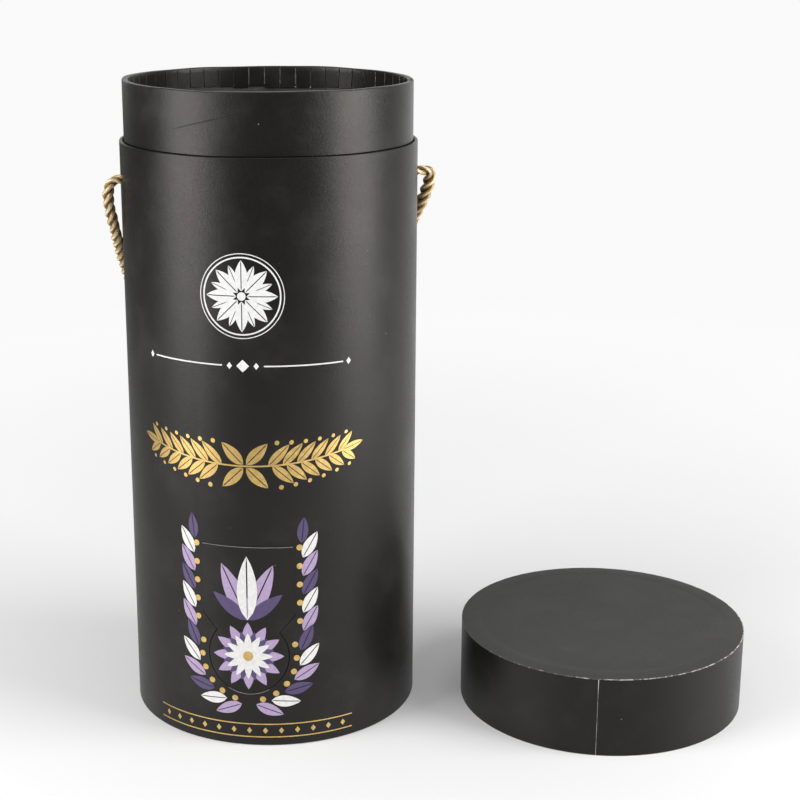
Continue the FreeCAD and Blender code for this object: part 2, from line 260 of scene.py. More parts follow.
def knot_places(side):
    """Places along one stopper, from the wall inwards; side is -1 on the left and 1 on the right."""
    coil = []
    count = COIL_TURNS * COIL_STEPS
    for step in range(count + 1):
        turn = pi / 2 + 2 * pi * step / COIL_STEPS
        inwards = COIL_FAR + (COIL_NEAR - COIL_FAR) * step / count
        coil.append((inwards, COIL_RADIUS * cos(turn), COIL_RADIUS * sin(turn)))
    places = WAY_IN + coil + TAIL
    return [hole_middle + Vector((side * (KNOT_SEAT - inwards), y, z)) * MM for inwards, y, z in places]


knots = []
for side, node in ((-1, "knot_left"), (1, "knot_right")):
    knot = laid_rope("stopper_" + node, points_on_spline(knot_places(side), KNOT_FINENESS))
    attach(knot, "handle")
    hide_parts(node)
    knots.append(knot)

# %% [markdown]
# Finishes are node trees. A few lines are the same in each of them: make the material, find its Principled
# shader, add a node, join two sockets. These helpers keep the trees short. Patterns read Object coordinates,
# in metres, or the UV map of the rope.

# %% Helpers for finishes


class Nodes:
    """Short ways to add nodes to a tree and to join them."""

    def __init__(self, tree):
        self.tree = tree

    def feed(self, socket, given):
        if isinstance(given, bpy.types.NodeSocket):
            self.tree.links.new(given, socket)
        else:
            socket.default_value = given

    def add(self, kind, settings=None, **inputs):
        node = self.tree.nodes.new(kind)
        for key, setting in (settings or {}).items():
            setattr(node, key, setting)
        for socket, given in inputs.items():
            self.feed(node.inputs[socket.replace("_", " ")], given)
        return node

    def combine(self, kind, operation, *given):
        node = self.add(kind, {"operation": operation})
        for socket, one in zip(node.inputs, given):
            self.feed(socket, one)
        return node.outputs["Value"]

    def sum(self, operation, *numbers):
        return self.combine("ShaderNodeMath", operation, *numbers)

    def measure(self, operation, *vectors):
        return self.combine("ShaderNodeVectorMath", operation, *vectors)

    def part(self, axis, vector):
        return self.add("ShaderNodeSeparateXYZ", Vector=vector).outputs[axis]

    def rays(self):
        """Two switches: one for what a mirror shows and one for what the camera sees."""
        path = self.add("ShaderNodeLightPath").outputs
        return self.sum("ADD", path["Is Glossy Ray"], path["Is Transmission Ray"]), path["Is Camera Ray"]


class Finish(Nodes):
    """A material with a Principled shader."""

    def __init__(self, name, colour, roughness, **sockets):
        self.material = bpy.data.materials.new(name)
        self.material.use_nodes = True
        super().__init__(self.material.node_tree)
        self.shader = self.tree.nodes["Principled BSDF"]
        self.set("Base Color", (*colour, 1))
        self.set("Roughness", roughness)
        for socket, number in sockets.items():
            self.set(socket.replace("_", " "), number)

    def set(self, socket, given):
        self.feed(self.shader.inputs[socket], given)

    def paint(self, colour):
        self.set("Base Color", colour)

    def place(self):
        return self.add("ShaderNodeTexCoord").outputs["Object"]

    def moved(self, vector, **inputs):
        return self.add("ShaderNodeMapping", Vector=vector, **inputs).outputs["Vector"]

    def noise(self, vector, scale, detail=2.0, roughness=0.5):
        node = self.add("ShaderNodeTexNoise", Vector=vector, Scale=scale, Detail=detail, Roughness=roughness)
        return node.outputs["Fac"]

    def spread(self, value, low, high, to_low=0.0, to_high=1.0):
        node = self.add("ShaderNodeMapRange", {"interpolation_type": "SMOOTHSTEP"}, Value=value,
                        From_Min=low, From_Max=high, To_Min=to_low, To_Max=to_high)
        return node.outputs["Result"]

    def blend(self, share, first, second):
        node = self.add("ShaderNodeMix", {"data_type": "RGBA"})
        colours = [socket for socket in node.inputs if socket.type == "RGBA"]
        self.feed(node.inputs["Factor"], share)
        for socket, given in zip(colours, (first, second)):
            self.feed(socket, given if isinstance(given, bpy.types.NodeSocket) else (*given, 1))
        return next(socket for socket in node.outputs if socket.type == "RGBA")

    def emboss(self, height, depth, strength):
        node = self.add("ShaderNodeBump", Height=height, Distance=depth, Strength=strength)
        self.set("Normal", node.outputs["Normal"])

    def coat(self, *pieces):
        for piece in pieces:
            piece.data.materials.clear()
            piece.data.materials.append(self.material)


print("finishes are ready to be mixed")

# %% [markdown]
# The rope is gold satin yarn, brown, with fine yarn lines that run almost along the rope because the yarns
# are twisted against the lay. A pale painted highlight lies on the crown of each strand, and a painted shade
# in the grooves between them. All three follow the UV map.

# %% Gold rope finish
GOLD_PAINTED_HIGHLIGHT = (0.97, 0.85, 0.60)
GOLD_MIDDLE = (0.35, 0.20, 0.045)
GOLD_PAINTED_SHADE = (0.07, 0.029, 0.006)
GOLD_GLINT = (1.0, 0.90, 0.72, 1.0)


def gold_rope():
    finish = Finish("gold_rope", GOLD_MIDDLE, 0.26, IOR=1.85, Specular_Tint=GOLD_GLINT,
                    Sheen_Weight=0.15, Sheen_Roughness=0.4)
    yarn = finish.add("ShaderNodeUVMap", {"uv_map": "yarn"}).outputs["UV"]
    in_strand = finish.sum("FRACT", finish.sum("ADD", finish.part("Y", yarn), 0.5))
    from_crown = finish.sum("ABSOLUTE", finish.sum("SUBTRACT", in_strand, 0.5))
    # Painted highlight on the crown of each strand, painted shade in the grooves between them.
    off_highlight = finish.spread(from_crown, 0.05, 0.24)
    groove_shade = finish.spread(from_crown, 0.3, 0.46)
    lines = finish.noise(finish.moved(yarn, Scale=(1.5, 14, 1), Rotation=(0, 0, 0.5)), 3.0, 4.0, 0.65)
    patches = finish.noise(yarn, 2.3, 1.0)
    highlight_lines = finish.blend(finish.spread(lines, 0.35, 0.7), GOLD_MIDDLE, GOLD_PAINTED_HIGHLIGHT)
    pale_patches = finish.blend(finish.spread(patches, 0.35, 0.75), highlight_lines, GOLD_PAINTED_HIGHLIGHT)
    highlighted = finish.blend(off_highlight, pale_patches, GOLD_MIDDLE)
    finish.paint(finish.blend(groove_shade, highlighted, GOLD_PAINTED_SHADE))
    finish.set("Roughness", finish.spread(lines, 0.3, 0.7, 0.16, 0.34))
    finish.emboss(lines, 0.12 * MM, 0.6)
    return finish


gold_rope().coat(rope, *knots)
print("gold rope finish on", 1 + len(knots), "pieces")

# %% [markdown]
# The wrap is black printed paper with a matte film. It is never one flat black: the film has a fine grain
# that spreads the light, soft cloudy patches where hands have rubbed it, and specks of pale dust. The same
# recipe serves the wall, the collar and the lid with other numbers. Where the paper is cut or rubbed, its
# pale core shows, so that is a finish of its own, mottled in two tones.

# %% Paper finishes
WALL_BLACK = (0.0075, 0.0072, 0.0068)
LID_SIDE_BLACK = (0.003, 0.0029, 0.0027)
COLLAR_BLACK = (0.008, 0.0078, 0.0074)
RUBBED_GREY = (0.026, 0.025, 0.0235)
DUST = (0.16, 0.158, 0.15)
DUST_CELLS = 115
DUST_SPECK = 0.026
PAPER_CORE = (0.55, 0.53, 0.49)
FILM_IOR = 1.38
FILM_TINT = (1, 0.95, 0.9, 1)
CLOUDS = (38, 4.0, 0.6)
FIBRES = (1000, 3.0, 0.65)
GRAIN = (2600, 3.0, 0.6)


def film_paper(name, black, sheen, rubbed, dust, rubbed_grey=RUBBED_GREY, gloss=FILM_IOR):
    """Black paper under a matte film; sheen is its roughness, rubbed and dust how much of each it has."""
    finish = Finish(name, black, sheen, IOR=gloss, Specular_Tint=FILM_TINT)
    place = finish.place()
    clouds = finish.noise(place, *CLOUDS)
    fibres = finish.noise(place, *FIBRES)
    grain = finish.noise(place, *GRAIN)
    toned = finish.blend(finish.spread(clouds, 0.48, 0.75, 0.0, rubbed), black, rubbed_grey)
    cells = finish.add("ShaderNodeTexVoronoi", Vector=place, Scale=DUST_CELLS).outputs
    speck = finish.sum("LESS_THAN", cells["Distance"], DUST_SPECK)
    lot = finish.add("ShaderNodeSeparateColor", Color=cells["Color"]).outputs["Red"]
    dusty = finish.sum("MULTIPLY", speck, finish.sum("LESS_THAN", lot, dust))
    finish.paint(finish.blend(dusty, toned, DUST))
    patchy = finish.sum("MULTIPLY_ADD", fibres, 0.45, finish.sum("MULTIPLY", clouds, 0.55))
    finish.set("Roughness", finish.spread(patchy, 0.32, 0.7, sheen - 0.04, sheen + 0.08))
    waves = finish.sum("MULTIPLY_ADD", clouds, 3.0, grain)
    finish.emboss(finish.sum("MULTIPLY_ADD", fibres, 1.3, waves), 0.06 * MM, 0.6)
    return finish


def shaded(colour, share):
    return tuple(c * share for c in colour)


def mottled(name, colour, other, noise, tones, relief, roughness, gloss=None, **sockets):
    """Two tones that follow one noise, which also raises the surface and, if asked, changes its gloss."""
    finish = Finish(name, colour, roughness, **sockets)
    pattern = finish.noise(finish.place(), *noise)
    if gloss:
        finish.set("Roughness", finish.spread(pattern, *gloss))
    finish.paint(finish.blend(finish.spread(pattern, *tones), colour, other))
    depth, strength = relief
    finish.emboss(pattern, depth * MM, strength)
    return finish


def core_paper(name, colour):
    return mottled(name, colour, shaded(colour, 0.55), (1800, 4.0, 0.7), (0.3, 0.7), (0.03, 0.6), 0.85)


wall_paper = film_paper("black_wrap", WALL_BLACK, 0.35, 0.5, 0.35)
collar_paper = film_paper("neck_paper", COLLAR_BLACK, 0.35, 0.7, 0.75)
lid_side_paper = film_paper("lid_side_paper", LID_SIDE_BLACK, 0.38, 0.3, 0.3)
cut_paper = core_paper("cut_paper", PAPER_CORE)
print("paper finishes:", wall_paper.material.name, collar_paper.material.name, cut_paper.material.name)

# %% [markdown]
# New pieces are modelled as by hand: a primitive is added at its size, then edit mode shapes it. An operator
# acts on whatever is selected, so these helpers leave edit mode, clear the selection, and pick edges or faces
# by a test on their place.

# %% Helpers for hand modelling
PAPER = 0.2 * MM
CLOSE = 0.02 * MM
CRISP = radians(35)


def alone(piece=None):
    """Leave edit mode and select nothing but this piece."""
    if bpy.context.mode != "OBJECT":
        bpy.ops.object.mode_set(mode="OBJECT")
    bpy.ops.object.select_all(action="DESELECT")
    if piece:
        piece.select_set(True)
        bpy.context.view_layer.objects.active = piece


def begin(name, primitive, scale=(1, 1, 1), **sizes):
    """Add a primitive, name it, and move its place and scale into its mesh."""
    alone()
    primitive(**sizes)
    piece = bpy.context.object
    piece.name = name
    piece.scale = scale
    bpy.ops.object.transform_apply(location=True, rotation=True, scale=True)
    return piece


def sleeve(name, radius, low, high, steps, centre=(0, 0)):
    """An open sleeve of paper on its outer side."""
    return begin(name, bpy.ops.mesh.primitive_cylinder_add, vertices=steps, radius=radius, depth=high - low,
                 end_fill_type="NOTHING", location=(*centre, (low + high) / 2))


def block(name, location, size):
    return begin(name, bpy.ops.mesh.primitive_cube_add, size=1, location=location, scale=size)


def own_copy(shape, moved=Matrix()):
    """A copy with its own mesh, moved to its place."""
    copy = added(shape.name, shape.data.copy())
    copy.data.transform(moved)
    return copy


def edit(piece):
    """Go into edit mode with all of the piece selected."""
    alone(piece)
    bpy.ops.object.mode_set(mode="EDIT")
    bpy.ops.mesh.select_mode(type="VERT")
    bpy.ops.mesh.select_all(action="SELECT")


def pick(piece, kind, wanted):
    """In edit mode, select the vertices, edges or faces that the test wants."""
    bpy.ops.mesh.select_mode(type=kind)
    bpy.ops.mesh.select_all(action="DESELECT")
    mesh = bmesh.from_edit_mesh(piece.data)
    parts = {"VERT": mesh.verts, "EDGE": mesh.edges, "FACE": mesh.faces}[kind]
    chosen = [part for part in parts if wanted(part)]
    for part in chosen:
        part.select_set(True)
    bmesh.update_edit_mesh(piece.data)
    return len(chosen)


def middle(part):
    return sum((v.co for v in part.verts), Vector()) / len(part.verts)


def upright(edge):
    return abs(edge.verts[0].co.z - edge.verts[1].co.z) > CLOSE


def hoop(height, radius):
    """A test for the edges of one level ring round the tube's axis."""
    def on_ring(v):
        return abs(v.co.z - height) < CLOSE and abs(hypot(v.co.x, v.co.y) - radius) < CLOSE
    return lambda edge: all(on_ring(v) for v in edge.verts)


def pull(way):
    bpy.ops.mesh.extrude_region_move(TRANSFORM_OT_translate={"value": way})


def pull_in(share):
    """Extrude the selected ring and draw the new one in."""
    bpy.ops.mesh.extrude_region_move()
    bpy.ops.transform.resize(value=(share, share, 1))


def round_folds(piece, offset, steps, *folds):
    pick(piece, "EDGE", lambda edge: any(fold(edge) for fold in folds))
    bpy.ops.mesh.bevel(offset=offset, segments=steps, affect="EDGES")


def use(piece, kind, **settings):
    """Add a modifier with its settings and apply it."""
    alone(piece)
    modifier = piece.modifiers.new(kind.lower(), kind)
    for key, setting in settings.items():
        setattr(modifier, key, setting)
    bpy.ops.object.modifier_apply(modifier=modifier.name)


def thicken(piece, thickness=PAPER, rim=0):
    """Give a sheet its thickness on the inner side; rim is the finish of its cut edges."""
    use(piece, "SOLIDIFY", thickness=thickness, offset=-1, use_even_offset=True, material_offset_rim=rim)


def cut(piece, cutter, operation="DIFFERENCE"):
    use(piece, "BOOLEAN", object=cutter, operation=operation, solver="EXACT")


def soften(piece):
    """Smooth shading, with sharp edges left crisp."""
    alone(piece)
    bpy.ops.object.shade_smooth_by_angle(angle=CRISP)


print("paper is", PAPER / MM, "mm thick")

# %% [markdown]
# The front of the tube has a die-cut flap over the place of a tap: a straight crease on top, sides that
# narrow to a neck, and a round below. Wall and flap are cut from one sleeve by one outline, so their curves
# match. The outline has straight stretches and one arc, and the cutter is that outline carried forwards.

# %% Outline of the tap flap
FRONT_TURN = radians(-20)
FRONT = Vector((sin(FRONT_TURN), -cos(FRONT_TURN), 0))
ACROSS = Vector((cos(FRONT_TURN), sin(FRONT_TURN), 0))
FLAP_CREASE = 79.2
FLAP_HALF_WIDTH = 17.1
FLAP_SHOULDER = 52.3
FLAP_NECK_HALF_WIDTH = 11.6
FLAP_ROUND_HEIGHT = 36.3
FLAP_ROUND_RADIUS = 14.9
FLAP_KERF = 0.3
FLAP_SIDE_KERF = 0.05
FLAP_STEP = 0.6
CUTTER_START = 35 * MM
CUTTER_LENGTH = 30 * MM


def flap_round(margin, steps=40):
    """The arc below the flap's neck, from its left end to its right end."""
    radius = FLAP_ROUND_RADIUS + margin
    opening = acos((FLAP_NECK_HALF_WIDTH + margin) / radius)
    span = pi + 2 * opening
    turns = [pi - opening + span * i / steps for i in range(steps + 1)]
    return [(radius * cos(turn), FLAP_ROUND_HEIGHT + radius * sin(turn)) for turn in turns]


def flap_outline(margin, side_margin):
    half = FLAP_HALF_WIDTH + side_margin
    crease = FLAP_CREASE + margin
    right = [(FLAP_HALF_WIDTH + margin, FLAP_SHOULDER), (half, FLAP_SHOULDER + FLAP_STEP), (half, crease)]
    left = [(-across, up) for across, up in reversed(right)]
    return flap_round(margin) + right + left


def flap_cutter(name, margin, side_margin):
    """The outline as a block that runs forwards through the front wall."""
    mesh = bpy.data.meshes.new(name)
    start = FRONT * CUTTER_START
    outline = flap_outline(margin, side_margin)
    corners = [start + ACROSS * across * MM + Vector((0, 0, up * MM)) for across, up in outline]
    mesh.from_pydata(corners, [], [tuple(range(len(corners)))])
    cutter = added(name, mesh)
    edit(cutter)
    pull(FRONT * CUTTER_LENGTH)
    bpy.ops.mesh.select_all(action="SELECT")
    bpy.ops.mesh.normals_make_consistent(inside=False)
    alone()
    return cutter


print("flap outline has", len(flap_outline(0, 0)), "corners")

# %% [markdown]
# The wrap is one sheet: up the wall, folded over the rim and down inside it, and folded under the foot. As by
# hand it starts as an open sleeve. Its top ring is pulled inwards and down, its bottom ring inwards, the
# folds are bevelled round, and a solidify gives it the paper's thickness. Real folds are not dead level, so
# the rim is waved by a tenth of a millimetre. Where it meets the collar, the rim's top is a near-black finish
# of its own: a painted shade for the shadowed gap there. Then the window, the rope holes and the back seam
# are cut.

# %% Wrap of the tube
wall_low, wall_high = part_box("body_wrap")[0].z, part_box("body_wrap")[1].z
WALL_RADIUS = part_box("body_wrap")[1].x
WALL_STEPS = 180
RIM_INNER = 53.38 * MM
RIM_TURN_IN = 8 * MM
RIM_SLOPE = 0.1 * MM
RIM_WAVE = 0.06 * MM
RIM_WAVE_REACH = 6 * MM
JOINT_WIDTH = 0.55 * MM
JOINT_PAINTED_SHADE = (0.0025, 0.0024, 0.0023)
FOOT_INNER = 46 * MM
FOLD = 0.28 * MM
FOLD_STEPS = 4
HOLE_RADIUS = 2.1 * MM
BORE_LENGTH = 140 * MM
SEAM_GAP = 0.3 * MM
SEAM_DEPTH = 2.6 * MM
SEAM_ENDS = 0.8 * MM


def rim_wave(x, y):
    """A small slow rise and fall round a hand-made rim."""
    turn = atan2(x, -y)
    return sin(3 * turn + 0.7) + 0.6 * sin(7 * turn + 2.1) + 0.35 * sin(13 * turn)


def wave_rim(piece, height, reach, depth):
    """Raise and lower the rim, less and less down to reach below it."""
    for v in piece.data.vertices:
        near = max(0.0, 1 - (height - v.co.z) / reach)
        v.co.z += depth * near * rim_wave(v.co.x, v.co.y)


def folded_wall():
    piece = sleeve("tube_paper", WALL_RADIUS, wall_low, wall_high, WALL_STEPS)
    joint_from = RIM_INNER + JOINT_WIDTH
    edit(piece)
    pick(piece, "EDGE", hoop(wall_high, WALL_RADIUS))
    pull_in(joint_from / WALL_RADIUS)
    pull_in(RIM_INNER / joint_from)
    bpy.ops.transform.translate(value=(0, 0, -RIM_SLOPE))
    pull((0, 0, -RIM_TURN_IN))
    pick(piece, "EDGE", hoop(wall_low, WALL_RADIUS))
    pull_in(FOOT_INNER / WALL_RADIUS)
    round_folds(piece, FOLD, FOLD_STEPS, hoop(wall_high, WALL_RADIUS),
                hoop(wall_high - RIM_SLOPE, RIM_INNER), hoop(wall_low, WALL_RADIUS))
    alone()
    wave_rim(piece, wall_high, RIM_WAVE_REACH, RIM_WAVE)
    wall_paper.coat(piece)
    # The rim's top next to the collar takes the painted shade of the joint.
    piece.data.materials.append(joint_shade.material)
    for face in piece.data.polygons:
        at = face.center
        if at.z > wall_high - RIM_TURN_IN and hypot(at.x, at.y) < joint_from:
            face.material_index = 1
    thicken(piece)
    return piece


# Near-black: a painted shade for the shadowed gap where the rim meets the collar.
joint_shade = mottled("joint_shade", JOINT_PAINTED_SHADE, WALL_BLACK, (1500, 3.0, 0.7), (0.35, 0.75), (0.03, 0.5),
                      0.9, IOR=1.15)
tube_paper = folded_wall()
flap_paper = own_copy(tube_paper)
flap_paper.name = "flap_paper"

seam = block("seam", (0, WALL_RADIUS, wall_high / 2), (SEAM_GAP, SEAM_DEPTH, wall_high - SEAM_ENDS))
window = flap_cutter("window", FLAP_KERF, FLAP_SIDE_KERF)
flap_block = flap_cutter("flap_block", 0, 0)
rope_bore = begin("bore", bpy.ops.mesh.primitive_cylinder_add, vertices=48, radius=HOLE_RADIUS,
                  depth=BORE_LENGTH, location=(0, 0, HOLE_HEIGHT), rotation=(0, pi / 2, 0))
cut_paper.coat(seam, window, flap_block, rope_bore)
for cutter in (seam, window, rope_bore):
    cut(tube_paper, cutter)
cut(flap_paper, flap_block, "INTERSECT")
for cutter in (seam, window, flap_block):
    bpy.data.objects.remove(cutter)
for piece, node, body in ((tube_paper, "body_wrap", "tube"), (flap_paper, "tap_flap_paper", "tap_flap")):
    soften(piece)
    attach(piece, body)
    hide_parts(node)
    print(piece.name, len(piece.data.polygons), "faces")

# %% [markdown]
# The collar's paper is folded in over its rim too, but a sheet cannot turn in round a circle without
# creasing, so the maker slits it into a fringe of tabs. The sleeve has six columns to a tab. After the fold
# is pulled in and down, every sixth column is deleted, the gaps are drawn narrow, and each tab gets its own
# length, lean and lift. The solidify gives the cut edges the finish of the paper's core. A thin near-black
# ring round the collar is a painted shade for the shadowed joint between the collar and the tube's rim.

# %% Collar paper with its fringe
collar_low, collar_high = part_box("neck_wrap")[0].z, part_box("neck_wrap")[1].z
COLLAR_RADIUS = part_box("neck_wrap")[1].x
COLLAR_WAVE = 0.13 * MM
COLLAR_WAVE_REACH = 5 * MM
TAB_COUNT = 52
TAB_COLUMNS = 6
TAB_RADIUS = 51.1 * MM
TAB_SLACK = 0.15 * MM
TAB_DEPTH = 8 * MM
TAB_ROWS = 4
TAB_GAP = radians(0.56)
TAB_FOLD = 0.5 * MM
TAB_FOLD_STEPS = 3
TAB_LIFT = 0.55 * MM
JOINT_SHOWS = 0.25 * MM
JOINT_DEPTH = 1.2 * MM
JOINT_LIP = 0.05 * MM
JOINT_WAVE_REACH = 1 * MM
TAB_TURN = 2 * pi / TAB_COUNT
COLUMN_TURN = TAB_TURN / TAB_COLUMNS
TINY_TURN = 1e-6


def tab_of(x, y):
    """Which tab a point belongs to, and how far round that tab it is."""
    turn = atan2(y, x) % (2 * pi) + TINY_TURN
    return int(turn / TAB_TURN) % TAB_COUNT, turn % TAB_TURN - TINY_TURN


def on_tab(v):
    return hypot(v.co.x, v.co.y) < TAB_RADIUS + TAB_SLACK


def shape_tabs(piece):
    """Narrow the gaps, and give each tab its own length, lean and lift."""
    chance = random.Random(5)
    nature = [(chance.uniform(-0.5, 0.5), chance.uniform(-0.25, 0.25), chance.random() ** 3)
              for tab in range(TAB_COUNT)]
    wide = TAB_COLUMNS - 1
    spread = (TAB_TURN - TAB_GAP) / wide
    for v in piece.data.vertices:
        if not on_tab(v):
            continue
        tab, within = tab_of(v.co.x, v.co.y)
        longer, lean, lift = nature[tab]
        columns = within / COLUMN_TURN
        turn = tab * TAB_TURN + columns * spread
        if columns > wide + 0.01:
            turn = tab * TAB_TURN + wide * spread + (columns - wide) * TAB_GAP
        down = min(1.0, max(0.0, (collar_high - v.co.z) / TAB_DEPTH))
        turn += lean * down * MM / TAB_RADIUS
        radius = hypot(v.co.x, v.co.y) - TAB_LIFT * lift * down ** 2
        v.co = (radius * cos(turn), radius * sin(turn), v.co.z - longer * MM * down)


def in_gap(face):
    at = middle(face)
    below_fold = on_tab(face.verts[0]) and at.z < collar_high - TAB_FOLD
    return below_fold and tab_of(at.x, at.y)[1] > (TAB_COLUMNS - 1) * COLUMN_TURN


def collar_fringe():
    piece = sleeve("collar_paper", COLLAR_RADIUS, collar_low, collar_high, TAB_COUNT * TAB_COLUMNS)
    piece.data.transform(Matrix.Rotation(-pi / 2, 4, "Z"))
    edit(piece)
    pick(piece, "EDGE", hoop(collar_high, COLLAR_RADIUS))
    pull_in(TAB_RADIUS / COLLAR_RADIUS)
    for row in range(TAB_ROWS):
        pull((0, 0, -TAB_DEPTH / TAB_ROWS))
    round_folds(piece, TAB_FOLD, TAB_FOLD_STEPS, hoop(collar_high, COLLAR_RADIUS),
                hoop(collar_high, TAB_RADIUS))
    print("slit faces:", pick(piece, "FACE", in_gap))
    bpy.ops.mesh.delete(type="FACE")
    alone()
    shape_tabs(piece)
    wave_rim(piece, collar_high, COLLAR_WAVE_REACH, COLLAR_WAVE)
    collar_paper.coat(piece)
    piece.data.materials.append(cut_paper.material)
    thicken(piece, rim=1)
    cut(piece, rope_bore)
    soften(piece)
    return piece


def joint_shade_ring():
    """Painted shade round the collar at the joint: a very thin near-black ring of paper."""
    top = wall_high + JOINT_SHOWS
    piece = sleeve("joint_shade_ring", COLLAR_RADIUS + JOINT_LIP, wall_high - JOINT_DEPTH, top, WALL_STEPS)
    wave_rim(piece, top, JOINT_WAVE_REACH, RIM_WAVE)
    joint_shade.coat(piece)
    thicken(piece, JOINT_LIP)
    soften(piece)
    return piece


collar = collar_fringe()
bpy.data.objects.remove(rope_bore)
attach(collar, "tube")
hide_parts("neck_wrap")
joint = joint_shade_ring()
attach(joint, "tube")
print(collar.name, len(collar.data.polygons), "faces,", TAB_COUNT, "tabs")

# %% [markdown]
# Some slits have opened far enough to show the white core of the paper as a bright hairline. One sliver is
# modelled and copied to those slits. At the lower end of two slits a crumb of torn paper is left.

# %% White core in the open slits
OPEN_SLITS = (1, 3, 4, 10, 11, 12, 13, 23, 31, 38, 46)
CRUMB_SLITS = (9, 10)
SLIVER_SIZE = (0.1 * MM, 0.18 * MM, TAB_DEPTH - 1.4 * MM)
SLIVER_BEHIND = 0.1 * MM
CRUMB = 0.32 * MM
CRUMB_BEFORE = 0.15 * MM
CRUMB_FLATNESS = 0.45
SLIT_WHITE = (0.36, 0.345, 0.32)


def sliver():
    """A thin uneven strip that stands at +X just behind the faces of the tabs."""
    location = (TAB_RADIUS + SLIVER_BEHIND, 0, collar_high - TAB_FOLD - SLIVER_SIZE[2] / 2)
    piece = block("sliver", location, SLIVER_SIZE)
    edit(piece)
    pick(piece, "EDGE", upright)
    bpy.ops.mesh.subdivide(number_cuts=5)
    alone()
    for v in piece.data.vertices:
        v.co.y *= 0.75 + 0.25 * sin(v.co.z / MM * 1.9)
    return piece


def crumb():
    """A torn flake of paper, flattened and knocked out of round."""
    piece = begin("crumb", bpy.ops.mesh.primitive_ico_sphere_add, subdivisions=2, radius=CRUMB,
                  location=(TAB_RADIUS - CRUMB_BEFORE, 0, collar_high - TAB_DEPTH))
    chance = random.Random(3)
    middle_of_crumb = sum((v.co for v in piece.data.vertices), Vector()) / len(piece.data.vertices)
    for v in piece.data.vertices:
        out = (v.co - middle_of_crumb) * chance.uniform(0.6, 1.25)
        v.co = middle_of_crumb + Vector((out.x * CRUMB_FLATNESS, out.y, out.z))
    return piece


def copies_in_slits(shape, slits):
    """Copies of a shape turned round the tube's axis to some of the slits."""
    turns = [slit * TAB_TURN - TAB_GAP / 2 for slit in slits]
    copies = [own_copy(shape, Matrix.Rotation(turn, 4, "Z")) for turn in turns]
    bpy.data.objects.remove(shape)
    return copies


def joined(name, pieces):
    alone(pieces[0])
    for piece in pieces:
        piece.select_set(True)
    bpy.ops.object.join()
    whole = bpy.context.object
    whole.name = name
    return whole


slivers = copies_in_slits(sliver(), OPEN_SLITS)
slit_cores = joined("slit_cores", slivers + copies_in_slits(crumb(), CRUMB_SLITS))
core_paper("slit_white", SLIT_WHITE).coat(slit_cores)
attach(slit_cores, "tube")
print("slits that show white:", len(OPEN_SLITS))

# %% [markdown]
# The lid is a ring of board with paper round it and a paper disc on top. The paper round the side meets in
# one upright seam at the front, where the pale core shows as a hairline. The disc is a circle inset ring by
# ring: its middle stands a little higher, a shallow ring is pressed into it where the board ends below, and
# its outermost ring has been knocked. There the black has come off in patches, so that ring has a finish of
# its own, which is pale where a noise says so and mostly on the side that shows the wear.

# %% Lid
lid_low, lid_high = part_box("lid_ring")
side_low, side_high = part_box("lid_wrap")[0].z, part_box("lid_wrap")[1].z
LID_CENTRE = ((lid_low.x + lid_high.x) / 2, (lid_low.y + lid_high.y) / 2)
LID_RADIUS = (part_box("lid_top_paper")[1].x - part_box("lid_top_paper")[0].x) / 2
LID_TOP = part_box("lid_top_paper")[1].z
LID_STEPS = 200
# The lid top's blacks are lighter than the wall's: a painted sheen for the light the top reflects.
LID_BLACK_WITH_SHEEN = (0.036, 0.0355, 0.035)
LID_RUBBED_WITH_SHEEN = (0.063, 0.062, 0.061)
LID_IOR = 1.31
LID_SEAM_TURN = radians(-21)
LID_SEAM_GAP = 0.24 * MM
LID_SEAM_DEPTH = 2 * MM
SEAM_GREY = (0.33, 0.32, 0.30)
SEAM_SOILED = (0.16, 0.155, 0.145)
SEAM_WHITE = (0.78, 0.77, 0.74)
SEAM_WHITENS = (LID_TOP - 7 * MM, LID_TOP - 1.5 * MM)
SEAM_CORE_SIZE = (LID_SEAM_GAP - 0.02 * MM, 0.14 * MM, side_high - side_low - 0.1 * MM)
SEAM_CORE_BEHIND = 0.11 * MM
SEAM_SWAY = 0.05 * MM
WORN_TURN = radians(38)
TOP_STEP = 0.3 * MM
TOP_STEP_FROM_EDGE = 1 * MM
TOP_RINGS = [width * MM for width in (0.35, 4, 2.4, 1.1, 1.1, 12)]
PRESSED_FROM_EDGE = sum(TOP_RINGS[:4])
PRESSED_DEPTH = 0.07 * MM
PRESSED_REACH = 0.3 * MM
KNOCKS = (0.01, 0.07)
to_lid_seam = Matrix.Translation((*LID_CENTRE, 0)) @ Matrix.Rotation(LID_SEAM_TURN, 4, "Z")


def seam_finish():
    """Pale core in the seam: grey with handling, and whiter towards the top."""
    finish = Finish("seam_core", PAPER_CORE, 0.85)
    place = finish.place()
    towards_top = finish.spread(finish.part("Z", place), *SEAM_WHITENS)
    handled = finish.spread(finish.noise(place, 500, 3.0, 0.7), 0.35, 0.65)
    finish.paint(finish.blend(towards_top, finish.blend(handled, SEAM_GREY, SEAM_SOILED), SEAM_WHITE))
    return finish


def worn_edge_finish():
    """Black paper that has come off in patches, most of all towards one side of the lid."""
    finish = Finish("worn_edge", LID_BLACK_WITH_SHEEN, 0.6)
    place = finish.place()
    from_middle = finish.moved(place, Location=(-LID_CENTRE[0], -LID_CENTRE[1], 0))
    worn_way = (sin(WORN_TURN) / LID_RADIUS, -cos(WORN_TURN) / LID_RADIUS, 0)
    side = finish.spread(finish.measure("DOT_PRODUCT", from_middle, worn_way), -0.6, 0.8, -0.04, 0.14)
    patches = finish.noise(place, 380, 5.0, 0.8)
    pale_patches = finish.spread(finish.sum("ADD", patches, side), 0.6, 0.7)
    finish.paint(finish.blend(pale_patches, LID_BLACK_WITH_SHEEN, PAPER_CORE))
    finish.emboss(patches, 0.1 * MM, 0.5)
    return finish


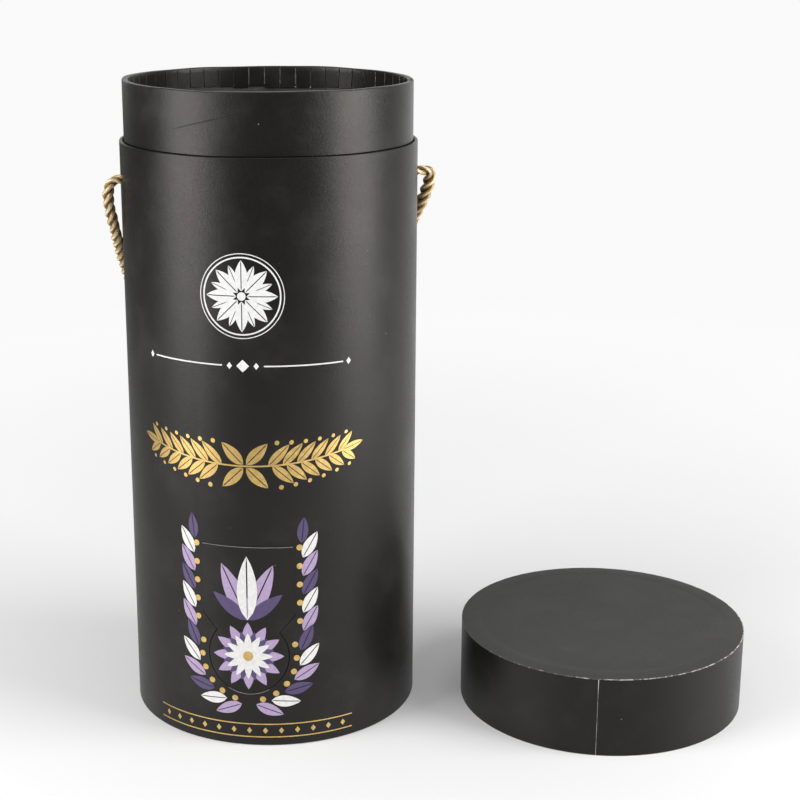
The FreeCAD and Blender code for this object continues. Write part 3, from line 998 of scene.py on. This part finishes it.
def lid_side():
    piece = sleeve("lid_side_paper", LID_RADIUS, side_low, side_high, LID_STEPS, LID_CENTRE)
    edit(piece)
    pick(piece, "EDGE", upright)
    bpy.ops.mesh.subdivide(number_cuts=3)
    alone()
    lid_side_paper.coat(piece)
    piece.data.materials.append(cut_paper.material)
    thicken(piece, rim=1)
    gap_size = (LID_SEAM_GAP, LID_SEAM_DEPTH, 2 * side_high)
    gap = block("gap", (0, -LID_RADIUS, (side_low + side_high) / 2), gap_size)
    gap.data.transform(to_lid_seam)
    cut_paper.coat(gap)
    cut(piece, gap)
    bpy.data.objects.remove(gap)
    soften(piece)
    return piece


def lid_seam_core():
    """The paper's pale core where the two ends of the side paper meet."""
    location = (0, -LID_RADIUS + SEAM_CORE_BEHIND, (side_low + side_high) / 2)
    piece = block("lid_seam_core", location, SEAM_CORE_SIZE)
    edit(piece)
    bpy.ops.mesh.subdivide(number_cuts=3)
    alone()
    for v in piece.data.vertices:
        v.co.x += SEAM_SWAY * sin(v.co.z / MM * 0.5)
    piece.data.transform(to_lid_seam)
    seam_finish().coat(piece)
    return piece


def from_lid_middle(at):
    return hypot(at.x - LID_CENTRE[0], at.y - LID_CENTRE[1])


def lid_top():
    piece = begin("lid_top_sheet", bpy.ops.mesh.primitive_circle_add, vertices=LID_STEPS, radius=LID_RADIUS,
                  fill_type="NGON", location=(*LID_CENTRE, LID_TOP))
    # The lid top's black and rubbed grey carry a painted sheen.
    film_paper("lid_top", LID_BLACK_WITH_SHEEN, 0.56, 0.55, 0.3, LID_RUBBED_WITH_SHEEN, LID_IOR).coat(piece)
    piece.data.materials.append(worn_edge_finish().material)
    edit(piece)
    for width in TOP_RINGS:
        bpy.ops.mesh.inset(thickness=width)
    alone()
    chance = random.Random(11)
    for v in piece.data.vertices:
        from_edge = LID_RADIUS - from_lid_middle(v.co)
        if from_edge > TOP_STEP_FROM_EDGE:
            v.co.z += TOP_STEP
        if abs(from_edge - PRESSED_FROM_EDGE) < PRESSED_REACH:
            v.co.z -= PRESSED_DEPTH
        if from_edge < CLOSE:
            v.co.z -= chance.uniform(*KNOCKS) * MM
    for face in piece.data.polygons:
        if LID_RADIUS - from_lid_middle(face.center) < TOP_RINGS[0]:
            face.material_index = 1
    use(piece, "SOLIDIFY", thickness=PAPER, offset=-1, material_offset_rim=1)
    soften(piece)
    return piece


lid_pieces = [(lid_side(), "lid_wrap", "black_wrap"), (lid_top(), "lid_top_paper", "lid_top")]
for piece, node, slot in lid_pieces:
    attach(piece, "lid")
    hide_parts(node)
    print(piece.name, len(piece.data.polygons), "faces")
seam_core = lid_seam_core()
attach(seam_core, "lid")

# %% [markdown]
# Board shows in the slits of the fringe, inside the tube and under the lid. The tube's board is dark, the
# lid's plain grey. Wound board has fine lines on the slant, so its noise is stretched. The solids already
# have the right shape here, so they stay and only take a finish.

# %% Board and lining finishes
DARK_TUBE_BOARD = (0.052, 0.049, 0.045)
GREY_BOARD = (0.33, 0.30, 0.26)
LINING_BLACK = (0.022, 0.0215, 0.021)


def board(name, colour, contrast):
    finish = Finish(name, colour, 0.82)
    place = finish.place()
    plies = finish.noise(finish.moved(place, Rotation=(0.5, 0, 0), Scale=(1, 1, 7)), 60, 5.0, 0.65)
    fibres = finish.noise(place, 900, 4.0, 0.7)
    mixed = finish.sum("MULTIPLY_ADD", plies, 0.6, finish.sum("MULTIPLY", fibres, 0.4))
    finish.paint(finish.blend(finish.spread(mixed, 0.35, 0.65), colour, shaded(colour, contrast)))
    finish.emboss(fibres, 0.06 * MM, 0.5)
    return finish


def lining(name):
    return mottled(name, LINING_BLACK, RUBBED_GREY, (700, 4.0, 0.7), (0.35, 0.7), (0.05, 0.4), 0.75)


for finish, names in ((board("tube_board", DARK_TUBE_BOARD, 1.7),
                       ("body_tube", "neck_tube", "tap_flap_board", "base_disc")),
                      (board("lid_board", GREY_BOARD, 0.75), ("lid_ring", "lid_disc")),
                      (lining("lining_paper"), ("lid_lining", "base_lining")),
                      (lining("base_paper"), ("base_cover",))):
    finish.coat(*[frame["nodes"][name] for name in names])
    print(finish.material.name, "on", ", ".join(names))

# %% [markdown]
# The front carries an ornament in foil and ink: leaves, small diamonds, rings and rules, all of them old
# stock shapes. Each shape is modelled once on the flat with enough cuts to bend, then copied to its places,
# joined by colour and wrapped round the wall, so that nothing floats off the curve. A layer of ink or foil
# stands a few hundredths of a millimetre off the paper. What lies on the tap flap rides on the flap, and no
# shape crosses the cut. Sizes of the flat shapes are in millimetres.

# %% Flat shapes for the ornament
INK = 0.03 * MM
INK_CLEAR = 0.4
INK_LAYER = 1.3
FLAT_STEP = 1.5
LIFT_SPAN = 40 * MM


def face_up(piece):
    """Turn over the faces of a flat shape that look down."""
    edit(piece)
    pick(piece, "FACE", lambda face: face.normal.z < 0)
    bpy.ops.mesh.flip_normals()
    alone()
    return piece


def shape_leaf(length, width, rib=0.35):
    """A pointed leaf in two halves, with its stalk at the origin and its tip up along Y."""
    piece = begin("leaf", bpy.ops.mesh.primitive_grid_add, x_subdivisions=5, y_subdivisions=9, size=1,
                  location=(0, 0.5, 0))
    edit(piece)
    pick(piece, "FACE", lambda face: abs(middle(face).x) < 0.05)
    bpy.ops.mesh.delete(type="FACE")
    alone()
    for v in piece.data.vertices:
        half = width / 2 * abs(sin(pi * max(0.0, v.co.y) ** 0.85)) ** 0.8
        inner = min(rib / 2, half)
        share = (abs(v.co.x) - 0.1) / 0.4
        v.co = (copysign(inner + (half - inner) * share, v.co.x) * MM, v.co.y * length * MM, 0)
    edit(piece)
    bpy.ops.mesh.remove_doubles(threshold=0.005 * MM)
    return face_up(piece)


def shape_disc(radius):
    piece = begin("disc", bpy.ops.mesh.primitive_circle_add, vertices=24, radius=radius * MM)
    edit(piece)
    for share in (0.65, 0.5):
        pull_in(share)
    bpy.ops.mesh.edge_face_add()
    return face_up(piece)


def shape_ring(radius, width):
    piece = begin("ring", bpy.ops.mesh.primitive_circle_add, vertices=72, radius=radius * MM)
    edit(piece)
    pull_in(1 - width / radius)
    return face_up(piece)


def shape_arc(radius, width, half_angle):
    """The lowest part of a ring."""
    piece = shape_ring(radius, width)
    edit(piece)
    pick(piece, "FACE", lambda face: middle(face).y > -radius * MM * cos(radians(half_angle)))
    bpy.ops.mesh.delete(type="FACE")
    alone()
    return piece


def shape_rule(length, height):
    return begin("rule", bpy.ops.mesh.primitive_grid_add, x_subdivisions=ceil(length / FLAT_STEP),
                 y_subdivisions=1, size=1, scale=(length * MM, height * MM, 1))


def shape_diamond(width, height):
    return begin("diamond", bpy.ops.mesh.primitive_circle_add, vertices=4, radius=0.5, fill_type="TRIFAN",
                 scale=(width * MM, height * MM, 1))


def spray(shape, middle_at, reach, count, first=0.0):
    """Places for copies of a shape that stand out all round a middle."""
    turns = [first + 360 / count * i for i in range(count)]
    return [(shape, middle_at[0] - reach * sin(radians(turn)),
             middle_at[1] + reach * cos(radians(turn)), turn, 1) for turn in turns]


def mirrored(places):
    """The same places on both sides of the upright middle."""
    return places + [(shape, -across, up, -turn, scale) for shape, across, up, turn, scale in places]


def stamp(name, places, finish, body, layer=0, lift_ends=0.0, round_radius=WALL_RADIUS):
    """Copy flat shapes to their places, join them, wrap them round the wall and give them a thickness."""
    copies = []
    for shape, across, up, turn, scale in places:
        moved = Matrix.Translation((across * MM, up * MM, 0)) @ Matrix.Rotation(radians(turn), 4, "Z")
        copies.append(own_copy(shape, moved @ Matrix.Scale(scale, 4)))
    piece = joined(name, copies)
    radius = round_radius + (INK_CLEAR + layer * INK_LAYER) * INK
    for v in piece.data.vertices:
        turn = FRONT_TURN + v.co.x / round_radius
        up = v.co.y + lift_ends * MM * (v.co.x / LIFT_SPAN) ** 2
        v.co = (radius * sin(turn), -radius * cos(turn), up)
    use(piece, "SOLIDIFY", thickness=INK, offset=1)
    finish.coat(piece)
    soften(piece)
    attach(piece, body)
    print(name, len(places), "shapes,", len(piece.data.polygons), "faces")


# %% [markdown]
# Foil is metal leaf pressed on with heat: it mirrors the lights and is a little uneven. Ink is flat colour
# with a faint mottle from the printing.

# %% Foil and ink
GOLD_LEAF = (0.80, 0.55, 0.20)
SILVER_PRINT = (0.80, 0.80, 0.79)
LAVENDER = (0.44, 0.33, 0.52)
PLUM = (0.085, 0.06, 0.15)
WHITE_INK = (0.78, 0.77, 0.75)


def ink(name, colour):
    return mottled(name, colour, shaded(colour, 0.84), (700, 4.0, 0.7), (0.3, 0.75), (0.02, 0.3), 0.42)


gold_foil = mottled("gold_foil", GOLD_LEAF, shaded(GOLD_LEAF, 0.75), (420, 3.0, 0.6), (0.3, 0.75),
                    (0.03, 0.3), 0.3, (0.3, 0.7, 0.24, 0.42), Metallic=1.0)
silver_ink = ink("silver_print", SILVER_PRINT)
lavender_ink = ink("lavender_ink", LAVENDER)
plum_ink = ink("plum_ink", PLUM)
white_ink = ink("white_ink", WHITE_INK)
print("foil and ink: 5 finishes")

# %% [markdown]
# From the top: a silver star in two rings, a silver rule with diamonds, a gold garland whose ends rise, and
# at the foot a row of gold diamonds between two rules. Round the flap stands a wreath of leaves in lavender,
# plum and white, and the flap has a flower on its round and a fan of leaves above it. A place in the lists is
# the shape, its millimetres across and up, its turn and its scale.

# %% Ornament on the front
STAR_AT = (0, 172)
RULE_AT = 147
GARLAND_AT = 110
BERRY_OUT = 8.4
FOOT_AT = 6.2
WREATH_REACH = 19.6
WREATH_SIDE = 20.6
WREATH_TURN = 17.5
WREATH_RISE = 7.2
WREATH_LEAN = 30
FLAP_MIDDLE = (0, FLAP_ROUND_HEIGHT)
FAN_FOOT = (0, 50.6)
CUT_WIDTH = 0.2

leaf = shape_leaf(11, 4.6)
laurel = shape_leaf(10.6, 3.7, 0.3)
slim_leaf = shape_leaf(7.5, 2.6, 0.25)
broad_leaf = shape_leaf(25, 7.6, 0.5)
plain_leaf = shape_leaf(25, 7.6, 0.0)
petal = shape_leaf(11.6, 4.4, 0.0)
short_petal = shape_leaf(8.4, 2.8, 0.0)
berry = shape_disc(1.15)
eye = shape_disc(1.9)
diamond = shape_diamond(4.6, 4.6)
small_diamond = shape_diamond(2.4, 3.2)
inner_ring = shape_ring(14.0, 0.55)
outer_ring = shape_ring(15.2, 0.3)
side_rule = shape_rule(29, 0.5)
long_rule = shape_rule(80, 0.45)
stem = shape_rule(74, 0.6)
cut_edge = shape_rule(2 * FLAP_HALF_WIDTH, CUT_WIDTH)
cut_arc = shape_arc(FLAP_ROUND_RADIUS + FLAP_KERF + 0.22, CUT_WIDTH, 33)
crease_strip = shape_leaf(28, 0.36, 0.0)
flat_shapes = [leaf, laurel, cut_edge, cut_arc, crease_strip, slim_leaf, broad_leaf, plain_leaf, petal, short_petal,
               berry, eye, diamond, small_diamond, inner_ring, outer_ring, side_rule, long_rule, stem]


def star():
    rings = [(inner_ring, *STAR_AT, 0, 1), (outer_ring, *STAR_AT, 0, 1), (eye, *STAR_AT, 0, 0.8)]
    rule = mirrored([(side_rule, 22, RULE_AT, 0, 1), (small_diamond, 4.8, RULE_AT, 0, 0.8),
                     (small_diamond, 38.8, RULE_AT, 0, 0.8)])
    points = spray(leaf, STAR_AT, 1.8, 8) + spray(slim_leaf, STAR_AT, 4.2, 8, 22.5)
    return points + rings + rule + [(diamond, 0, RULE_AT, 0, 1)]


def garland():
    places = [(stem, 0, GARLAND_AT, 0, 1)] + spray(leaf, (0, GARLAND_AT), 0.8, 4, 45)
    right = []
    for i in range(6):
        across, scale = 8.5 + 5.2 * i, 1 - 0.05 * i
        right += [(laurel, across, GARLAND_AT, -46, scale), (laurel, across + 1.4, GARLAND_AT, -134, scale)]
        right += [(berry, across + 3.2, GARLAND_AT + BERRY_OUT * scale, 0, 0.75 * scale)]
        right += [(berry, across + 4.6, GARLAND_AT - BERRY_OUT * scale, 0, 0.75 * scale)]
    right += [(laurel, 36.5, GARLAND_AT, -90, 0.8)]
    return places + mirrored(right)


def foot():
    diamonds = [(small_diamond, 6 * i, FOOT_AT, 0, 0.8) for i in range(-6, 7)]
    return diamonds + [(long_rule, 0, FOOT_AT - 2.6, 0, 1), (long_rule, 0, FOOT_AT + 2.6, 0, 1)]


def round_flap(shape, inwards, side_inwards, first_turn, first_up, leaning):
    """Copies of a shape on the right half of the flap: round its foot, then up its side."""
    reach = WREATH_REACH - inwards
    places = []
    for i in range(6):
        turn = first_turn + WREATH_TURN * i
        out = radians(turn)
        places.append((shape, reach * cos(out), FLAP_ROUND_HEIGHT + reach * sin(out),
                       leaning * (turn - WREATH_LEAN), 1))
    side = WREATH_SIDE - side_inwards
    return places + [(shape, side, first_up + WREATH_RISE * i, -leaning * WREATH_LEAN, 1) for i in range(5)]


wreath = round_flap(leaf, 0, 0, -82, 46, 1) + [(leaf, WREATH_SIDE - 0.4, 80.5, -6, 0.9)]
berries = round_flap(berry, 1.6, 1.2, -73, 50, 0)
lavender_fan = mirrored([(broad_leaf, *FAN_FOOT, -24, 0.95)])
plum_fan = mirrored([(plain_leaf, *FAN_FOOT, -52, 0.66)])
white_fan = [(broad_leaf, *FAN_FOOT, 0, 1)]
stamp("silver_star", star(), silver_ink, "tube")
stamp("gold_garland", garland(), gold_foil, "tube", lift_ends=5)
stamp("gold_foot_row", foot(), gold_foil, "tube")
stamp("lavender_leaves", mirrored(wreath[0::3]), lavender_ink, "tube")
stamp("white_leaves", mirrored(wreath[1::3]), white_ink, "tube", layer=1)
stamp("plum_leaves", mirrored(wreath[2::3]), plum_ink, "tube", layer=2)
stamp("gold_berries", mirrored(berries), gold_foil, "tube", layer=3)
stamp("flap_lavender", spray(petal, FLAP_MIDDLE, 1.8, 12) + lavender_fan, lavender_ink, "tap_flap")
stamp("flap_plum", spray(short_petal, FLAP_MIDDLE, 1.6, 12, 15) + plum_fan, plum_ink, "tap_flap", layer=1)
stamp("flap_white", spray(short_petal, FLAP_MIDDLE, 0.8, 12) + white_fan, white_ink, "tap_flap", layer=2)
stamp("flap_eye", [(eye, *FLAP_MIDDLE, 0, 1)], gold_foil, "tap_flap", layer=3)

# %% [markdown]
# Die-cutting leaves its own marks: the top edge of the flap and the lowest part of its round have lifted a
# little, and there a pale hairline is painted on: the cut paper's core with a painted highlight on the edge
# that faces up. The collar has a faint slanting crease, a strip of painted shade with a rougher film, and a
# small smudge in the same finish. All of them are slivers of the same flat shapes.

# %% Cut edges and a crease
CUT_CORE_AND_HIGHLIGHT = (0.30, 0.29, 0.27)
CREASE_SHADE_BLACK = (0.006, 0.0058, 0.0056)
COLLAR_CREASE = (-26.4, 228.2, -75.9, 1)
SMUDGE = (-2.05, 236.2, -60, 0.05)

# Cut core with a painted highlight: the pale hairlines on the lifted cut edges that face up.
cut_core_highlight = core_paper("cut_core_highlight", CUT_CORE_AND_HIGHLIGHT)
stamp("flap_cut_edge", [(cut_edge, 0, FLAP_CREASE - 0.14, 0, 1)], cut_core_highlight, "tap_flap")
stamp("window_cut_edge", [(cut_arc, *FLAP_MIDDLE, 0, 1)], cut_core_highlight, "tube")
# Darker and rougher than the collar: a painted shade along the crease and the smudge.
crease_shade = Finish("crease_shade_paper", CREASE_SHADE_BLACK, 0.55, IOR=1.34)
crease_shade.emboss(crease_shade.noise(crease_shade.place(), 900, 3.0, 0.7), 0.03 * MM, 0.5)
stamp("collar_crease", [(crease_strip, *COLLAR_CREASE), (crease_strip, *SMUDGE)], crease_shade, "tube", round_radius=COLLAR_RADIUS)
for shape in flat_shapes:
    bpy.data.objects.remove(shape)

# %% [markdown]
# A studio for this: a white table, one large soft light at each side that draws the two tall bands of sheen
# on the black paper, and a white surround behind. The table ends some way in front of the tube, so the middle
# of the front stays dark. The table keeps the shadows; its white comes from its colour and from a little
# light of its own that only the camera and mirrors see. That light is weaker near the tube and the lid,
# a painted shadow round them, and in mirrors it fades out to the left, a painted shade on the tube's
# left side. Far off the camera sees it as white as the backdrop.

# %% Table, lights and surround
TABLE_FRONT = -0.78
TABLE_BACK = 4.0
TABLE_HALF_WIDTH = 3.0
TABLE_WHITE = (0.56, 0.56, 0.56)
TABLE_GLOSS = 0.2
PAINTED_SHADOW_FADE = 0.34
PAINTED_SHADOW_DEPTH = 0.84
MIRROR_SHADE_LEFT = (-0.25, 0.14, 0.0, 1.0)
FAR_FROM = (0.3, 0.74)
BACKDROP_WHITE = 0.95
SHADE_MIDDLE = (0.07, -0.02)
WHITE_SIDE = (0.40, 0.915, 0)
WHITE_FROM = 0.35
WHITE_FULL = 0.9
ROOM_LIGHT = 0.08
CAMERA_TURN = atan2(CAMERA_PLACE.x, -CAMERA_PLACE.y)
LEFT_SOFTBOX = (radians(-64.5), 10.8)
RIGHT_SOFTBOX = (radians(67.5), 11.8)
SOFTBOX_FROM = 0.85
SOFTBOX_SIZE = (0.56, 0.9)
SOFTBOX_HEIGHT = 0.42
SOFTBOX_AIM = Vector((0.03, 0, 0.12))
OVERHEAD_PLACE = Vector((0.05, -0.35, 1.3))
OVERHEAD_AIM = Vector((0.05, -0.35, 0))
OVERHEAD_SIZE = (1.0, 1.0)
OVERHEAD_POWER = 4.5


def table():
    piece = begin("table", bpy.ops.mesh.primitive_plane_add, size=1,
                  location=(0, (TABLE_FRONT + TABLE_BACK) / 2, 0),
                  scale=(2 * TABLE_HALF_WIDTH, TABLE_BACK - TABLE_FRONT, 1))
    finish = Finish("white_table", TABLE_WHITE, 0.6)
    place = finish.place()
    # The own light fades towards SHADE_MIDDLE, between the tube and the lid: a painted shadow round them.
    away = finish.measure("LENGTH", finish.moved(place, Location=(-SHADE_MIDDLE[0], -SHADE_MIDDLE[1], 0)))
    painted_shadow = finish.sum("POWER", PAINTED_SHADOW_FADE, away)
    shaded_own_light = finish.sum("MULTIPLY_ADD", painted_shadow, -PAINTED_SHADOW_DEPTH, 1.0)
    mirror_ray, camera_ray = finish.rays()
    # In mirrors the own light fades out to the left: a painted shade on the tube's left side.
    mirror_light_shaded = finish.sum("MULTIPLY", shaded_own_light, finish.spread(finish.part("X", place), *MIRROR_SHADE_LEFT))
    in_mirror = finish.sum("MULTIPLY", mirror_ray, mirror_light_shaded)
    far = finish.sum("MULTIPLY", camera_ray, finish.spread(away, *FAR_FROM))
    finish.paint(finish.blend(far, TABLE_WHITE, (0, 0, 0)))
    finish.set("Specular IOR Level", finish.sum("MULTIPLY_ADD", far, -TABLE_GLOSS, TABLE_GLOSS))
    missing = finish.sum("SUBTRACT", BACKDROP_WHITE, shaded_own_light)
    even_white = finish.sum("MULTIPLY_ADD", far, missing, shaded_own_light)
    to_camera = finish.sum("MULTIPLY", camera_ray, even_white)
    finish.set("Emission Color", (1, 1, 1, 1))
    finish.set("Emission Strength", finish.sum("MAXIMUM", to_camera, in_mirror))
    finish.coat(piece)


def soft_light(name, power, size, place, aim):
    """A soft light that shines from a place towards a point and is out of the camera's sight."""
    lamp = bpy.data.lights.new(name, "AREA")
    lamp.shape = "RECTANGLE"
    lamp.size, lamp.size_y = size
    lamp.energy = power
    lamp_object = added(name, lamp)
    turned = (aim - place).to_track_quat("-Z", "Y").to_matrix().to_4x4()
    lamp_object.matrix_world = Matrix.Translation(place) @ turned
    lamp_object.visible_camera = False
    print(name, power, "W")


def softbox(name, from_camera, power):
    """A tall soft light at one side of the camera."""
    turn = CAMERA_TURN + from_camera
    place = Vector((SOFTBOX_FROM * sin(turn), -SOFTBOX_FROM * cos(turn), SOFTBOX_HEIGHT))
    soft_light(name, power, SOFTBOX_SIZE, place, SOFTBOX_AIM)


def surround():
    """White to the camera on all sides, white behind in reflections, and a dim room for the rest."""
    world = bpy.data.worlds.new("surround")
    bpy.context.scene.world = world
    world.use_nodes = True
    nodes = Nodes(world.node_tree)
    background = nodes.tree.nodes["Background"]
    nodes.feed(background.inputs["Color"], (1, 1, 1, 1))
    way = nodes.add("ShaderNodeTexCoord").outputs["Generated"]
    facing = nodes.measure("DOT_PRODUCT", way, WHITE_SIDE)
    behind = nodes.add("ShaderNodeMapRange", Value=facing, From_Min=WHITE_FROM, From_Max=WHITE_FULL)
    mirror_ray, camera_ray = nodes.rays()
    in_mirror = nodes.sum("MULTIPLY", mirror_ray, behind.outputs["Result"])
    to_camera = nodes.sum("MULTIPLY", camera_ray, BACKDROP_WHITE)
    seen = nodes.sum("MAXIMUM", to_camera, in_mirror)
    nodes.feed(background.inputs["Strength"], nodes.sum("MAXIMUM", seen, ROOM_LIGHT))


table()
softbox("left_softbox", *LEFT_SOFTBOX)
softbox("right_softbox", *RIGHT_SOFTBOX)
soft_light("overhead", OVERHEAD_POWER, OVERHEAD_SIZE, OVERHEAD_PLACE, OVERHEAD_AIM)
surround()
